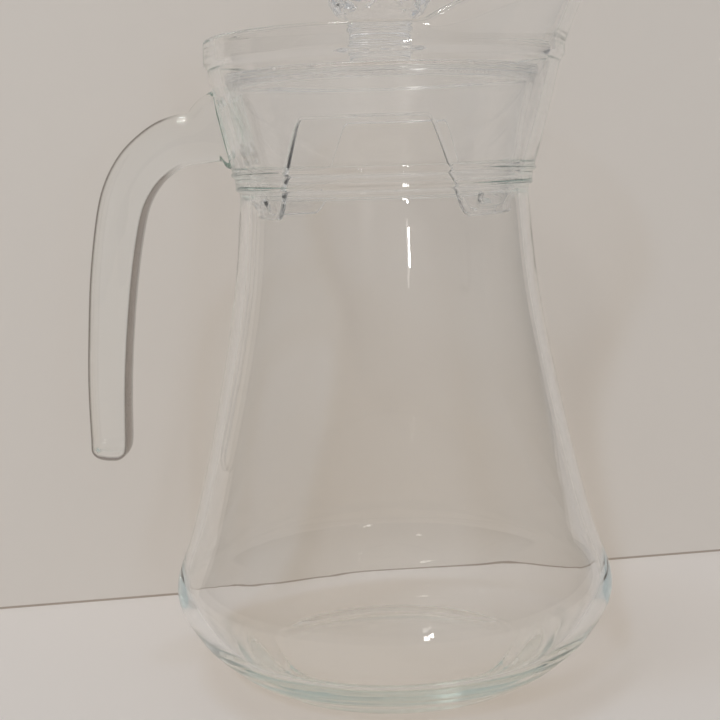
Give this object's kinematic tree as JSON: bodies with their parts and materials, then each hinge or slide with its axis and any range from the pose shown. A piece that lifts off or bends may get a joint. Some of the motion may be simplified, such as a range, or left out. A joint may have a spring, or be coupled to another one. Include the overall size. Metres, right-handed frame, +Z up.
{
  "type": "lidded glass water jug",
  "caption": "Clear glass water jug with a round belly, neck ring, raised pouring lip, open hook handle and a lift-out windowed lid with a faceted knob.",
  "frame": {"origin": "centre of the flat underside of the base, on the jug's axis", "axes": "+Z up along the jug's axis, +X towards the pouring lip, so the handle is on -X"},
  "size_m": [0.1614, 0.1368, 0.2139],
  "materials": {
    "jug_glass": "fire-polished clear soda-lime glass, faint green at the thick edges",
    "lid_plastic": "clear moulded plastic, polished",
    "knob_crystal": "clear cut-facet acrylic, polished"
  },
  "bodies": {
    "jug": {"jug_bowl": "jug_glass", "jug_collar": "jug_glass", "jug_handle": "jug_glass"},
    "lid_stem": {"knob_stem": "lid_plastic"},
    "lid": {"lid_plate": "lid_plastic", "lid_skirt": "lid_plastic", "knob_head": "knob_crystal"}
  },
  "joints": [
    {"name": "lid_lift", "type": "slide", "parent": "jug", "child": "lid_stem", "axis": [0, 0, 1], "range_m": [0, 0.08]},
    {"name": "lid_turn", "type": "hinge", "parent": "lid_stem", "child": "lid", "pos_m": [0, 0, 0.184], "axis": [0, 0, 1], "continuous": true}
  ]
}
